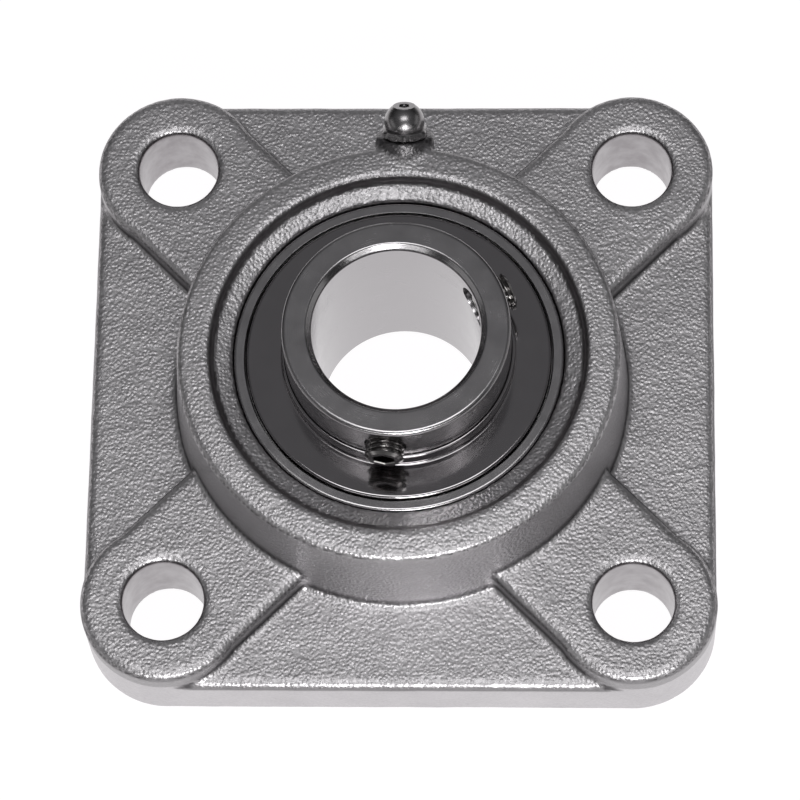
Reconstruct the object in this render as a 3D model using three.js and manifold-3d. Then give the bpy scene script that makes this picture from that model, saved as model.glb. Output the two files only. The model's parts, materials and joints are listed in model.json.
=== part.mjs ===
// A four-bolt square flanged bearing unit for a 25 mm shaft, in millimetres, +Z up.
// The origin is the centre of the rear mounting face, on the shaft axis. The cast housing's mounting
// face is z = 0 and the long end of the inner ring stands up along +Z. An insert ball bearing sits in
// the housing's spherical seat, so that it can tilt a little to follow its shaft.
import * as THREE from 'three';
import { mergeVertices } from 'three/addons/utils/BufferGeometryUtils.js';
import Module from 'manifold-3d';

const wasm = await Module();
wasm.setup();

// ---- driving dimensions -------------------------------------------------------------------------
const TURN = 2 * Math.PI;
const ROUND_FACETS = 40; // facets round the shaft axis on the housing and the rings
const SHEET_FACETS = 32; // the same on thin sheet parts and seals

const FLANGE = {
  side: 95, // square flange, edge to edge
  holeSpacing: 70, // bolt hole to bolt hole, along X and along Y
  holeRadius: 6, // clearance hole for an M10 bolt
  holeLipRadius: 6.55, // mouth of the rounded hole entry
  holeLipDepth: 1.2,
  panelHeight: 10, // thickness between the arms
  armHeight: 14, // arms and corner bosses
  armWidth: 24.4,
};
const BOSS = { topZ: 27, topRadius: 33, baseRadius: 34.4, edgeRound: 0.75, baseFillet: 1.8 };
const MOUTH = { stepRadius: 28.1, coneRadius: 27.6, coneZ: 25.4 }; // the front opening's step and cone
const REAR = { faceRadius: 28.2, coneRadius: 27.4, coneZ: 4.6 }; // the rear opening
const SEAT = { centreZ: 16, radius: 26.18, reach: 8.62 }; // spherical seat, a running fit on the ring
const SLOT = { width: 17.4 }; // loading slots, in which the insert is passed in on edge

const BORE = 25;
const PITCH_RADIUS = 19.25; // ball centres
const BALL_RADIUS = 3.969;
const BALLS = 9;
const RACE_RADIUS = 4.2; // groove section of both rings, with room for the balls' facets
const OUTER = { sphereRadius: 26, halfWidth: 8.5, edge: 0.4, landRadius: 21.6 };
const SEAL_SEAT = { radius: 23.1, z: 5, edge: 0.2 }; // the step in each face of the outer ring
const OIL_GROOVE = { z: 4.3, width: 1.6, depth: 0.5, holeRadius: 0.75 }; // round the outer ring
const GREASE_CHANNEL = { depth: 0.7, bottomZ: -1 }; // in the seat, from the drilling to the groove
const PIN_HOLE_DEPTH = 2.4;
const INNER = { outerRadius: 16.9, front: 19.8, rear: -14.3, edge: 0.6, boreEdge: 1 };
const CAGE = { innerRadius: 17.7, outerRadius: 20.9, thickness: 0.6, partGap: 0.15, ballGap: 0.23 };
const RIVET = { shankRadius: 0.6, holeRadius: 0.8, headRadius: 1.1, headHeight: 0.5, headGap: 0.1 };
const SEAL_LIP = { width: 0.75, rise: 0.15, slope: 0.5 }; // the seal's contact lip, at its bore
const SEAL = { lipRadius: 17.15, outerRadius: 22.8, bottomZ: 5.2, topZ: 5.7, lipTopZ: 6.5 };
const SEAL_PLATE = { innerRadius: 18.7, outerRadius: 22.95, bottomZ: 5.9, rimZ: 6.9, thickness: 0.4 };
const SLINGER = { innerRadius: 17.05, outerRadius: 22.8, faceZ: 8.7, collarZ: 11.5, rimZ: 7.5, sheet: 0.4 };

const SET_SCREW = {
  radius: 2.85,
  holeRadius: 3.15,
  length: 5.5,
  belowFrontFace: 5, // screw axis to the inner ring's front face
  socketFlats: 3,
  socketDepth: 2.6,
  pointRadius: 1.9,
  headEdge: 0.5,
};
// Each screw's direction in degrees about the shaft, from +X, and how far its point is from the axis.
const SET_SCREWS = {
  set_screw_lower: { degrees: -95, pointAt: 13.5 },
  set_screw_upper: { degrees: 25, pointAt: 12.8 },
};

const PIN = { radius: 1.5, holeRadius: 1.75, from: 23.9, to: 27.5 }; // outer ring's locating pin, on +X
const PIN_GROOVE = { halfWidth: 1.8, radius: 27.95, topZ: 19.3 };

const NIPPLE = {
  tilt: 45, // degrees above the flange plane
  base: [0.4, 35.28, 25.73], // centre of the pad's face
  padRadius: 4.2,
  padDepth: 7,
  threadRadius: 2.85,
  threadHoleRadius: 3.1,
  threadLength: 5,
  drillRadius: 1.2,
  lift: 0.1, // clear of the pad's face
  hexFlats: 6.6,
  hexHeight: 1.3,
  headRadius: 3.05, // a ball-shaped head with a flat, drilled tip
  headCentreZ: 2.2,
  tipZ: 4.8,
  boreRadius: 1.45,
  mouthRadius: 0.75,
};
const CHECK_BALL = { radius: 1.2, z: 3.2, clearance: 0.12 }; // closed against the mouth of the head
const CHECK_SPRING = { wire: 0.16, coilRadius: 1, turns: 4, endGap: 0.1, seatZ: -4.6 };

// ---- materials ----------------------------------------------------------------------------------
const steel = (color, roughness) => new THREE.MeshStandardMaterial({ color, roughness, metalness: 1 });
const CAST_STAINLESS = steel(0x8b8a8c, 0.55);
const GROUND_STEEL = steel(0x9a999b, 0.25);
const POLISHED_BALL = steel(0xb4b4b6, 0.1);
const PRESSED_STEEL = steel(0x6f6d6f, 0.2);
const SCREW_STEEL = steel(0x5d5a5a, 0.3);
const NIPPLE_STEEL = steel(0x707070, 0.2);
const SEAL_RUBBER = new THREE.MeshStandardMaterial({ color: 0x1c1b1b, roughness: 0.7, metalness: 0 });

// ---- solids and booleans ------------------------------------------------------------------------
// A closed three.js geometry as a manifold solid: shared vertices merged, empty triangles dropped.
function solid(geometry) {
  const bare = new THREE.BufferGeometry();
  bare.setAttribute('position', geometry.getAttribute('position').clone());
  if (geometry.index) bare.setIndex(geometry.index.clone());
  const merged = mergeVertices(bare);
  const corners = merged.index.array;
  const triVerts = [];
  for (let i = 0; i < corners.length; i += 3) {
    const [a, b, c] = corners.slice(i, i + 3);
    if (a !== b && b !== c && c !== a) triVerts.push(a, b, c);
  }
  const vertProperties = new Float32Array(merged.getAttribute('position').array);
  return new wasm.Manifold(
    new wasm.Mesh({ numProp: 3, vertProperties, triVerts: new Uint32Array(triVerts) }),
  );
}

function geometryOf(manifold) {
  const mesh = manifold.getMesh();
  const geometry = new THREE.BufferGeometry();
  geometry.setAttribute('position', new THREE.BufferAttribute(new Float32Array(mesh.vertProperties), 3));
  geometry.setIndex(new THREE.BufferAttribute(new Uint32Array(mesh.triVerts), 1));
  geometry.computeVertexNormals();
  return geometry;
}

const joined = (solids) => solids.reduce((whole, next) => whole.add(next));
const cut = (whole, cutters) => cutters.reduce((left, cutter) => left.subtract(cutter), whole);

// A closed profile of [radius, z] points turned about Z. Its points run anticlockwise, radius to the
// right and z up, whichever way they are given.
function turned(profile, facets) {
  let area = 0;
  profile.forEach(([r, z], i) => {
    const [nextR, nextZ] = profile[(i + 1) % profile.length];
    area += r * nextZ - nextR * z;
  });
  const ordered = area > 0 ? [...profile] : [...profile].reverse();
  const points = [...ordered, ordered[0]].map(([r, z]) => new THREE.Vector2(r, z));
  return new THREE.LatheGeometry(points, facets).rotateX(Math.PI / 2);
}

// A solid of revolution whose [radius, z] outline starts and ends on the axis.
function turnedOnAxis(outline, facets) {
  const points = outline.map(([r, z]) => new THREE.Vector2(r, z));
  return new THREE.LatheGeometry(points, facets).rotateX(Math.PI / 2);
}

function rod(radius, fromZ, toZ, facets) {
  const outline = [[0, fromZ], [radius, fromZ], [radius, toZ], [0, toZ]];
  return turnedOnAxis(outline, facets);
}

function block(low, high) {
  const size = high.map((value, i) => value - low[i]);
  const middle = high.map((value, i) => (value + low[i]) / 2);
  return new THREE.BoxGeometry(...size).translate(...middle);
}

function hexPrism(flats, fromZ, toZ) {
  const shape = new THREE.Shape();
  const cornerRadius = flats / Math.sqrt(3);
  for (let i = 0; i < 6; i += 1) {
    const angle = (i / 6) * TURN;
    shape.lineTo(cornerRadius * Math.cos(angle), cornerRadius * Math.sin(angle));
  }
  return new THREE.ExtrudeGeometry(shape, { depth: toZ - fromZ, bevelEnabled: false }).translate(0, 0, fromZ);
}

// Points of a circle's arc in the [radius, z] plane, between two heights above its centre.
function arcByHeight(centreR, radius, side, fromZ, toZ, steps) {
  const points = [];
  for (let i = 0; i <= steps; i += 1) {
    const start = Math.asin(fromZ / radius);
    const angle = start + ((Math.asin(toZ / radius) - start) * i) / steps;
    points.push([centreR + side * radius * Math.cos(angle), radius * Math.sin(angle)]);
  }
  return points;
}

const raised = (profile, dz) => profile.map(([r, z]) => [r, z + dz]);
const mirroredInZ = (profile) => profile.map(([r, z]) => [r, -z]);

const model = new THREE.Group();
const insert = new THREE.Group(); // everything about the insert bearing's own centre
insert.position.z = SEAT.centreZ;
const nipple = new THREE.Group(); // +Z of this group is the nipple's axis, and its origin is on the pad
nipple.position.set(...NIPPLE.base);
nipple.rotation.x = THREE.MathUtils.degToRad(NIPPLE.tilt - 90);
model.add(insert, nipple);

function place(name, geometry, material, parent) {
  const mesh = new THREE.Mesh(geometry, material);
  mesh.name = name;
  parent.add(mesh);
  return mesh;
}

// A geometry drawn along the nipple's own axis, moved to where the nipple is on the housing.
function alongNipple(geometry) {
  nipple.updateMatrix();
  return geometry.applyMatrix4(nipple.matrix);
}

// ---- cast housing -------------------------------------------------------------------------------
const HOLE_CENTRE = FLANGE.holeSpacing / 2;
const CORNERS = [[1, 1], [-1, 1], [-1, -1], [1, -1]].map(([x, y]) => [x * HOLE_CENTRE, y * HOLE_CENTRE]);
const LOBE_RADIUS = FLANGE.side / 2 - HOLE_CENTRE;
const ARC_STEPS = 8; // per quarter turn

function flangePlate() {
  const shape = new THREE.Shape();
  CORNERS.forEach(([x, y], i) => {
    const start = (i * TURN) / 4;
    shape.absarc(x, y, LOBE_RADIUS, start, start + TURN / 4, false);
  });
  const options = { depth: FLANGE.panelHeight, bevelEnabled: false, curveSegments: ARC_STEPS };
  return new THREE.ExtrudeGeometry(shape, options);
}

function cornerBosses() {
  return CORNERS.map(([x, y]) => rod(LOBE_RADIUS, 0, FLANGE.armHeight, 4 * ARC_STEPS).translate(x, y, 0));
}

function arms() {
  const reach = Math.hypot(HOLE_CENTRE, HOLE_CENTRE);
  const half = FLANGE.armWidth / 2;
  return [TURN / 8, -TURN / 8].map((angle) =>
    block([-reach, -half, 0], [reach, half, FLANGE.armHeight]).rotateZ(angle),
  );
}

function centreBoss() {
  const { topZ, topRadius, baseRadius, edgeRound, baseFillet } = BOSS;
  const outline = [
    [0, 0],
    [baseRadius + baseFillet, 0],
    [baseRadius + baseFillet, FLANGE.panelHeight],
    [baseRadius + 0.25 * baseFillet, FLANGE.panelHeight + 0.4 * baseFillet],
    [baseRadius - 0.1, FLANGE.panelHeight + baseFillet],
    [topRadius, topZ - edgeRound],
    [topRadius - 0.3 * edgeRound, topZ - 0.3 * edgeRound],
    [topRadius - edgeRound, topZ],
    [0, topZ],
  ];
  return turnedOnAxis(outline, ROUND_FACETS);
}

// The cutter for the rear opening, the spherical seat and the front opening, in one piece.
function seatCutter() {
  const seat = raised(arcByHeight(0, SEAT.radius, 1, -SEAT.reach, SEAT.reach, 6), SEAT.centreZ);
  const outline = [
    [0, -1],
    [REAR.faceRadius, -1],
    [REAR.faceRadius, 0],
    [REAR.coneRadius, REAR.coneZ],
    ...seat,
    [MOUTH.coneRadius, MOUTH.coneZ],
    [MOUTH.stepRadius, BOSS.topZ],
    [MOUTH.stepRadius, BOSS.topZ + 1],
    [0, BOSS.topZ + 1],
  ];
  return turnedOnAxis(outline, ROUND_FACETS);
}

function loadingSlots() {
  const half = SLOT.width / 2;
  const across = solid(block([-SEAT.radius - 1, -half, -1], [SEAT.radius + 1, half, SEAT.centreZ]));
  return across.intersect(solid(rod(SEAT.radius, -1, SEAT.centreZ, ROUND_FACETS)));
}

function boltHoles() {
  const { holeRadius, holeLipRadius, holeLipDepth, armHeight } = FLANGE;
  const outline = [
    [0, -1],
    [holeRadius, -1],
    [holeRadius, armHeight - holeLipDepth],
    [holeLipRadius, armHeight],
    [holeLipRadius, armHeight + 1],
    [0, armHeight + 1],
  ];
  return CORNERS.map(([x, y]) => turnedOnAxis(outline, 24).translate(x, y, 0));
}

// The tapped hole under the nipple, the drilling on to the seat, and the short channel in the seat
// that joins the drilling to the outer ring's grease groove.
function greasePassage() {
  const [baseX, baseY] = NIPPLE.base;
  const { drillRadius, threadHoleRadius, threadLength } = NIPPLE;
  const drillEnd = -(baseY - SEAT.radius + 1) / Math.cos(THREE.MathUtils.degToRad(NIPPLE.tilt));
  const tapped = alongNipple(rod(threadHoleRadius, -threadLength - 0.6, 1, 16));
  const drilling = alongNipple(rod(drillRadius, drillEnd, 0, 12));
  const channel = block(
    [baseX - drillRadius, SEAT.radius - 2, SEAT.centreZ + GREASE_CHANNEL.bottomZ],
    [
      baseX + drillRadius,
      SEAT.radius + GREASE_CHANNEL.depth,
      SEAT.centreZ + OIL_GROOVE.z + OIL_GROOVE.width / 2,
    ],
  );
  return [tapped, drilling, channel];
}

function flangeHousing() {
  const pad = alongNipple(rod(NIPPLE.padRadius, -NIPPLE.padDepth, 0, 20));
  const cast = [flangePlate(), ...cornerBosses(), ...arms(), centreBoss(), pad].map(solid);
  const pinGroove = block(
    [SEAT.radius - 2, -PIN_GROOVE.halfWidth, -1],
    [PIN_GROOVE.radius, PIN_GROOVE.halfWidth, PIN_GROOVE.topZ],
  );
  const cutters = [seatCutter(), pinGroove, ...boltHoles(), ...greasePassage()].map(solid);
  return cut(joined(cast), [...cutters, loadingSlots()]);
}

place('flange_housing', geometryOf(flangeHousing()), CAST_STAINLESS, model);

// ---- rings of the insert bearing ----------------------------------------------------------------
function outerRing() {
  const { sphereRadius, halfWidth, edge, landRadius } = OUTER;
  const raceHalf = Math.sqrt(RACE_RADIUS ** 2 - (landRadius - PITCH_RADIUS) ** 2);
  const onSphere = (z) => Math.sqrt(sphereRadius ** 2 - z ** 2);
  const side = [
    [landRadius, SEAL_SEAT.z],
    [SEAL_SEAT.radius, SEAL_SEAT.z],
    [SEAL_SEAT.radius, halfWidth - SEAL_SEAT.edge],
    [SEAL_SEAT.radius + SEAL_SEAT.edge, halfWidth],
    [onSphere(halfWidth) - edge, halfWidth],
    [onSphere(halfWidth - edge), halfWidth - edge],
  ];
  const grooveTop = OIL_GROOVE.z + OIL_GROOVE.width / 2;
  const grooveBottom = OIL_GROOVE.z - OIL_GROOVE.width / 2;
  const sphereStep = (halfWidth - edge + grooveTop) / 2;
  const centreBand = 1.7; // top of the sphere's evenly stepped part
  const profile = [
    ...arcByHeight(PITCH_RADIUS, RACE_RADIUS, 1, -raceHalf, raceHalf, 4),
    ...side,
    [onSphere(sphereStep), sphereStep],
    [onSphere(grooveTop), grooveTop],
    [onSphere(grooveTop) - OIL_GROOVE.depth, grooveTop],
    [onSphere(grooveBottom) - OIL_GROOVE.depth, grooveBottom],
    [onSphere(grooveBottom), grooveBottom],
    ...arcByHeight(0, sphereRadius, 1, centreBand, -sphereStep, 3),
    ...mirroredInZ(side).reverse(),
  ];
  const outside = sphereRadius + 1;
  const greaseHole = rod(OIL_GROOVE.holeRadius, landRadius - 2, outside, 8)
    .rotateX(-TURN / 4)
    .translate(0, 0, OIL_GROOVE.z);
  const pinHole = rod(PIN.holeRadius, sphereRadius - PIN_HOLE_DEPTH, outside, 12).rotateY(TURN / 4);
  return cut(solid(turned(profile, ROUND_FACETS)), [greaseHole, pinHole].map(solid));
}

function innerRing() {
  const { outerRadius, front, rear, edge, boreEdge } = INNER;
  const bore = BORE / 2;
  const raceHalf = Math.sqrt(RACE_RADIUS ** 2 - (PITCH_RADIUS - outerRadius) ** 2);
  const profile = [
    [bore, rear + boreEdge],
    [bore + boreEdge, rear],
    [outerRadius - edge, rear],
    [outerRadius, rear + edge],
    ...arcByHeight(PITCH_RADIUS, RACE_RADIUS, -1, -raceHalf, raceHalf, 4),
    [outerRadius, front - edge],
    [outerRadius - edge, front],
    [bore + boreEdge, front],
    [bore, front - boreEdge],
  ];
  const holes = Object.values(SET_SCREWS).map(({ degrees }) =>
    solid(
      rod(SET_SCREW.holeRadius, bore - 2, outerRadius + 2, 16)
        .rotateY(TURN / 4)
        .rotateZ(THREE.MathUtils.degToRad(degrees))
        .translate(0, 0, front - SET_SCREW.belowFrontFace),
    ),
  );
  return cut(solid(turned(profile, ROUND_FACETS)), holes);
}

place('outer_ring', geometryOf(outerRing()), GROUND_STEEL, insert);
place('inner_ring', geometryOf(innerRing()), GROUND_STEEL, insert);

// ---- balls and their riveted cage ---------------------------------------------------------------
const BALL_ANGLES = Array.from({ length: BALLS }, (_, i) => (i / BALLS) * TURN);
const onPitchCircle = (angle) => [PITCH_RADIUS * Math.cos(angle), PITCH_RADIUS * Math.sin(angle), 0];

BALL_ANGLES.forEach((angle, i) => {
  const ball = place(`ball_${i + 1}`, new THREE.SphereGeometry(BALL_RADIUS, 10, 8), POLISHED_BALL, insert);
  ball.position.set(...onPitchCircle(angle));
});

// The front half of the cage: a flat strip that swells into a round pocket over each ball.
function cageHalf() {
  const { innerRadius, outerRadius, thickness, partGap, ballGap } = CAGE;
  const pocketRadius = BALL_RADIUS + ballGap;
  const ringBand = (fromZ, toZ) =>
    solid(turned([[innerRadius, fromZ], [outerRadius, fromZ], [outerRadius, toZ], [innerRadius, toZ]], 3 * BALLS));
  const balls = (radius, detail) =>
    joined(BALL_ANGLES.map((angle) =>
      solid(new THREE.SphereGeometry(radius, 2 * detail, detail).translate(...onPitchCircle(angle)))));
  const rivetHoles = BALL_ANGLES.map((angle) =>
    solid(rod(RIVET.holeRadius, -1, 3, 6).translate(...onPitchCircle(angle + TURN / BALLS / 2))));
  const domes = balls(pocketRadius + thickness, 5).intersect(ringBand(partGap, 2 * BALL_RADIUS));
  const strip = ringBand(partGap, partGap + thickness);
  return cut(strip.add(domes), [balls(pocketRadius, 7), ...rivetHoles]);
}

const frontHalf = geometryOf(cageHalf());
place('cage_front_half', frontHalf, PRESSED_STEEL, insert);
place('cage_rear_half', frontHalf.clone(), PRESSED_STEEL, insert).rotation.x = Math.PI;

function rivet() {
  const headFrom = CAGE.partGap + CAGE.thickness + RIVET.headGap;
  const half = [
    [RIVET.shankRadius, headFrom],
    [RIVET.headRadius, headFrom],
    [0.7 * RIVET.headRadius, headFrom + RIVET.headHeight],
    [0, headFrom + RIVET.headHeight],
  ];
  return turnedOnAxis([...mirroredInZ(half).reverse(), ...half], 8);
}

BALL_ANGLES.forEach((angle, i) => {
  const mesh = place(`cage_rivet_${i + 1}`, rivet(), PRESSED_STEEL, insert);
  mesh.position.set(...onPitchCircle(angle + TURN / BALLS / 2));
});

// ---- seals and slingers, each made for the front and mirrored for the rear ----------------------
function sealProfile() {
  const { lipRadius, outerRadius, bottomZ, topZ, lipTopZ } = SEAL;
  const { width, rise, slope } = SEAL_LIP;
  return [
    [lipRadius, bottomZ + rise],
    [lipRadius + width, bottomZ],
    [outerRadius, bottomZ],
    [outerRadius, topZ],
    [lipRadius + width + slope, topZ],
    [lipRadius + width, lipTopZ],
    [lipRadius, lipTopZ],
  ];
}

function sealPlateProfile() {
  const { innerRadius, outerRadius, bottomZ, rimZ, thickness } = SEAL_PLATE;
  return [
    [innerRadius, bottomZ],
    [outerRadius, bottomZ],
    [outerRadius, rimZ],
    [outerRadius - thickness, rimZ],
    [outerRadius - thickness, bottomZ + thickness],
    [innerRadius, bottomZ + thickness],
  ];
}

function slingerProfile() {
  const { innerRadius, outerRadius, faceZ, collarZ, rimZ, sheet } = SLINGER;
  return [
    [innerRadius, rimZ],
    [innerRadius + sheet, rimZ],
    [innerRadius + sheet, faceZ - sheet],
    [outerRadius - sheet, faceZ - sheet],
    [outerRadius - sheet, rimZ],
    [outerRadius, rimZ],
    [outerRadius, faceZ],
    [innerRadius + sheet, faceZ],
    [innerRadius + sheet, collarZ],
    [innerRadius, collarZ],
  ];
}

function placeFrontAndRear(name, profile, material) {
  place(`front_${name}`, turned(profile, SHEET_FACETS), material, insert);
  place(`rear_${name}`, turned(mirroredInZ(profile), SHEET_FACETS), material, insert);
}

placeFrontAndRear('seal', sealProfile(), SEAL_RUBBER);
placeFrontAndRear('seal_plate', sealPlateProfile(), PRESSED_STEEL);
placeFrontAndRear('slinger', slingerProfile(), PRESSED_STEEL);

// ---- set screws ---------------------------------------------------------------------------------
// A socket set screw along +Z, its point at z = 0.
function setScrew() {
  const { radius, length, pointRadius, headEdge, socketFlats, socketDepth } = SET_SCREW;
  const outline = [
    [0, 0],
    [pointRadius, 0],
    [radius, radius - pointRadius],
    [radius, length - headEdge],
    [radius - headEdge, length],
    [0, length],
  ];
  return cut(solid(turnedOnAxis(outline, 16)), [solid(hexPrism(socketFlats, length - socketDepth, length + 1))]);
}

Object.entries(SET_SCREWS).forEach(([name, { degrees, pointAt }]) => {
  const arm = new THREE.Group(); // +X of this group is the screw's direction
  arm.rotation.z = THREE.MathUtils.degToRad(degrees);
  arm.position.z = INNER.front - SET_SCREW.belowFrontFace;
  insert.add(arm);
  const screw = place(name, geometryOf(setScrew()), SCREW_STEEL, arm);
  screw.rotation.y = TURN / 4;
  screw.position.x = pointAt;
});

// ---- locating pin -------------------------------------------------------------------------------
const pin = place('locating_pin', rod(PIN.radius, PIN.from, PIN.to, 12), SCREW_STEEL, insert);
pin.rotation.y = TURN / 4;

// ---- grease nipple ------------------------------------------------------------------------------
function nippleBody() {
  const { threadRadius, threadLength, lift, hexFlats, hexHeight, headRadius, headCentreZ, tipZ } = NIPPLE;
  const { boreRadius, mouthRadius } = NIPPLE;
  const pointChamfer = 0.5;
  const neck = headRadius - 0.4; // inside the hexagon
  const head = arcByHeight(0, headRadius, 1, hexHeight - headCentreZ, tipZ - headCentreZ, 6);
  const outline = [
    [0, -threadLength],
    [threadRadius - pointChamfer, -threadLength],
    [threadRadius, -threadLength + pointChamfer],
    [threadRadius, lift + pointChamfer],
    [neck, lift + pointChamfer],
    ...raised(head, headCentreZ),
    [0, tipZ],
  ];
  const ballStop = CHECK_BALL.z + Math.sqrt((CHECK_BALL.radius + CHECK_BALL.clearance) ** 2 - mouthRadius ** 2);
  const passage = [
    [0, -threadLength - 1],
    [boreRadius, -threadLength - 1],
    [boreRadius, CHECK_BALL.z + boreRadius - CHECK_BALL.radius],
    [mouthRadius, ballStop],
    [mouthRadius, tipZ + 1],
    [0, tipZ + 1],
  ];
  const hexagon = hexPrism(hexFlats, lift, hexHeight);
  return cut(solid(turnedOnAxis(outline, 20)).add(solid(hexagon)), [solid(turnedOnAxis(passage, 12))]);
}

// A coil spring that pushes the check ball against the mouth of the head.
function checkSpring() {
  const { wire, coilRadius, turns, endGap, seatZ } = CHECK_SPRING;
  const toZ = CHECK_BALL.z - CHECK_BALL.radius - endGap - 2 * wire;
  class Coil extends THREE.Curve {
    getPoint(t) {
      const angle = t * turns * TURN;
      const z = seatZ + wire + t * (toZ - seatZ - wire);
      return new THREE.Vector3(coilRadius * Math.cos(angle), coilRadius * Math.sin(angle), z);
    }
  }
  const section = new THREE.Shape();
  for (let i = 0; i < 5; i += 1) {
    section.lineTo(wire * Math.cos((i / 5) * TURN), wire * Math.sin((i / 5) * TURN));
  }
  return new THREE.ExtrudeGeometry(section, { steps: 10 * turns, extrudePath: new Coil() });
}

place('grease_nipple_body', geometryOf(nippleBody()), NIPPLE_STEEL, nipple);
place('grease_nipple_spring', checkSpring(), NIPPLE_STEEL, nipple);
const checkBall = new THREE.SphereGeometry(CHECK_BALL.radius, 10, 6);
place('grease_nipple_check_ball', checkBall, POLISHED_BALL, nipple).position.z = CHECK_BALL.z;

export default model;
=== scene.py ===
"""A four-bolt flanged bearing unit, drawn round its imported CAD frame.

Lengths are in millimetres in the shape functions and become metres where a mesh is made. Each piece is
modelled about its own axis, +Z of the object, and is then placed by its matrix.
"""
import json
import math

import bmesh
import bpy
import numpy as np
from mathutils import Matrix, Vector, noise

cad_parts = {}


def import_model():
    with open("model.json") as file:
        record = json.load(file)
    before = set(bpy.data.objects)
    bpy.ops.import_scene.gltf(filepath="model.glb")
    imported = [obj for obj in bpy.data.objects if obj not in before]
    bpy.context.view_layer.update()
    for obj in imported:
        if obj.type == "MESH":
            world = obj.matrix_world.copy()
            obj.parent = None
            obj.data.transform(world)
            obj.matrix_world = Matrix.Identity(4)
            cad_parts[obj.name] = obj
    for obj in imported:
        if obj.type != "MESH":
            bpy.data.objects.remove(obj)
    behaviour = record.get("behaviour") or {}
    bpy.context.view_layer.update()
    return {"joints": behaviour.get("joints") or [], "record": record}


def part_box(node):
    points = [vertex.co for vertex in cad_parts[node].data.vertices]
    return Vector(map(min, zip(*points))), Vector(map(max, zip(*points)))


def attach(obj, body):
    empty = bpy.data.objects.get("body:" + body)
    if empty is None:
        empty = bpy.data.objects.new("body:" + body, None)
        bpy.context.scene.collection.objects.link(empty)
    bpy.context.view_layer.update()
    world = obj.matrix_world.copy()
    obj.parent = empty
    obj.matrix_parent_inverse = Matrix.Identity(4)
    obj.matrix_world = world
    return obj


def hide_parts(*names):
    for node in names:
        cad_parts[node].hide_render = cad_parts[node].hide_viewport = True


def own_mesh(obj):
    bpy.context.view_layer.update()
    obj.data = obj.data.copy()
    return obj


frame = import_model()

MM = 0.001
TURN = 2 * math.pi
AXIS_Z = Vector((0, 0, 1))
record = frame["record"]
joints = {joint["name"]: joint for joint in frame["joints"]}


# ---- places and sizes from the frame ---------------------------------------------------------------
def cad_box(node):
    """Lowest and highest corner of a CAD node in millimetres."""
    low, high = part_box(node)
    return Vector(low) / MM, Vector(high) / MM


def cad_centre(node):
    low, high = cad_box(node)
    return (low + high) / 2


HOUSING_LOW, HOUSING_HIGH = cad_box("flange_housing")
SIDE = HOUSING_HIGH.x - HOUSING_LOW.x
CENTRE_Z = joints["shaft_spin"]["pos_m"][2] / MM  # the insert's own centre
HOLE_CENTRES = [
    [(low + high) / 2 / MM for low, high in zip(*opening["box_m"])][:2]
    for opening in record["physics"]["openings"]
    if opening["name"].startswith("bolt_hole")
]
HOLE_OFFSET = abs(HOLE_CENTRES[0][0])
LOBE_RADIUS = SIDE / 2 - HOLE_OFFSET

NIPPLE_AXIS = -Vector(joints["nipple_valve"]["axis"]).normalized()
CHECK_BALL_RADIUS = 1.2
CHECK_BALL_Z = 3.2  # its centre above the pad, along the nipple's axis
NIPPLE_BASE = cad_centre("grease_nipple_check_ball") - CHECK_BALL_Z * NIPPLE_AXIS

# Housing
PANEL_HEIGHT = 10
ARM_HEIGHT = 14
ARM_HALF_WIDTH = 12.2
BOSS_TOP = 27
BOSS_TOP_RADIUS = 33
BOSS_TOP_DROP = 0.05  # fall of the boss's front face per millimetre outwards
BOSS_BASE_RADIUS = 34.4
EDGE_ROUND = 1.4  # cast outer edges
BOSS_EDGE_ROUND = 0.9
BACK_EDGE_ROUND = 0.5
BOSS_FILLET = 0.8  # cast inner corners
ARM_FILLET = 0.6
HOLE_RADIUS = 6
HOLE_ROUND = 1.1
SEAT_RADIUS = 26.18
SEAT_HALF_WIDTH = 8.62
REAR_WALL = [(28.2, 0), (27.4, 4.6)]  # (radius, z) of the rear opening, narrowing towards the seat
SLOT_HALF_WIDTH = 8.7
MOUTH_CONE = (27.6, 25.4)  # outer edge (radius, z) of the shallow cone in front of the seat
MOUTH_STEP_RADIUS = 28.1
MOUTH_ROUND = 0.8
PAD_RADIUS = 3.9  # the round seat under the nipple's hexagon
LUG_RADIUS = 4.5  # the lug that carries it, flush with the boss in front
LUG_DEPTH = 7
TAPPED_RADIUS = 2.9
TAPPED_DEPTH = 5.6
DRILLING_RADIUS = 1.2  # from the tapped hole on to the seat
CHANNEL_HALF_WIDTH = 1.2  # grease channel in the seat, from the drilling to the outer ring's hole
CHANNEL_NEAR, CHANNEL_FAR = 24.1, 26.9  # from the axis
CHANNEL_LOW, CHANNEL_HIGH = 15, 21.2
GROOVE_HALF_WIDTH = 1.8  # groove in the seat for the locating pin
GROOVE_NEAR, GROOVE_FAR = 23.05, 27.95
GROOVE_TOP = CENTRE_Z + 3.3

# Insert bearing
PITCH_RADIUS = 19.25
BALL_RADIUS = 3.969
BALLS = 9
RACE_RADIUS = 4.06
SPHERE_RADIUS = 26
HALF_WIDTH = 8.5  # of the outer ring
BORE_RADIUS = 12.5
INNER_RADIUS = 16.9
INNER_FRONT = 19.8
INNER_REAR = -14.3
SCREW_Z = INNER_FRONT - 5

SUPPORT = 0.03  # from the end of a fillet to the row of points that holds the flat beside it


# ---- mesh helpers ----------------------------------------------------------------------------------
def new_object(name, points, faces, place=None):
    """A smooth-shaded object from points in millimetres, with creases kept over 32 degrees."""
    mesh = bpy.data.meshes.new(name)
    mesh.from_pydata([tuple(MM * c for c in p) for p in points], [], faces)
    recalculate_normals(mesh)
    finish_shading(mesh)
    piece = bpy.data.objects.new(name, mesh)
    bpy.context.scene.collection.objects.link(piece)
    if place is not None:
        piece.matrix_world = place
    return piece


def recalculate_normals(mesh):
    work = bmesh.new()
    work.from_mesh(mesh)
    bmesh.ops.recalc_face_normals(work, faces=work.faces)
    work.to_mesh(mesh)
    work.free()


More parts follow.
